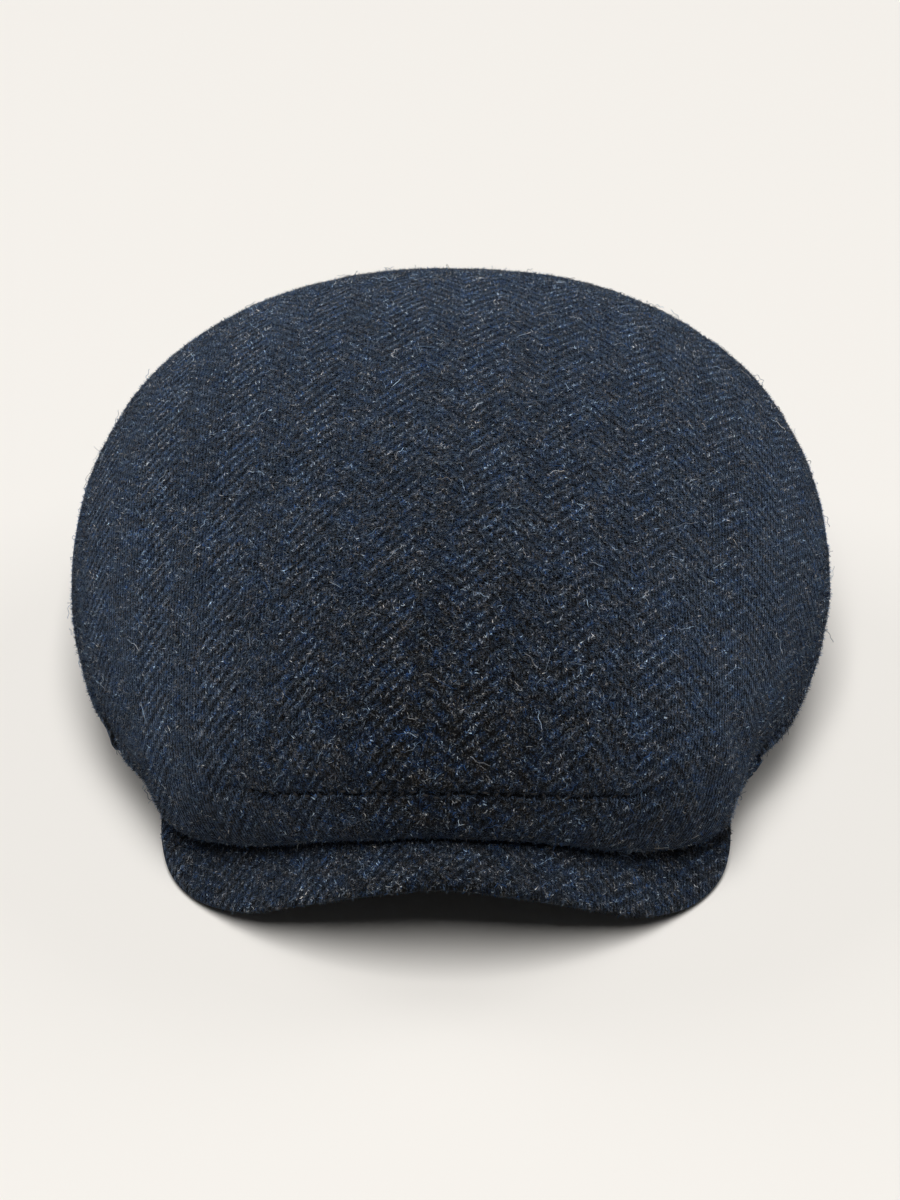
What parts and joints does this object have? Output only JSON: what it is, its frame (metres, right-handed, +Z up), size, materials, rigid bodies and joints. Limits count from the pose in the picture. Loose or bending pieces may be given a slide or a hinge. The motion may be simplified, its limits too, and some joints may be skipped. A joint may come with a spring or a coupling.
{
  "type": "flat cap",
  "caption": "Soft wool flat cap with one large top panel folded over a short curved peak, side panels at the back, hollow inside.",
  "frame": {"origin": "middle of the cap's footprint, on the surface that it rests on", "axes": "+Z up, -Y is the way the peak points, +X to the right of somebody who faces the peak"},
  "size_m": [0.2384, 0.2652, 0.097],
  "materials": {
    "wool": "matt woollen herringbone in navy, blue and grey-brown yarns"
  },
  "bodies": {
    "root": {"top_panel": "wool", "side_panel_left": "wool", "side_panel_right": "wool", "peak": "wool"}
  },
  "joints": []
}
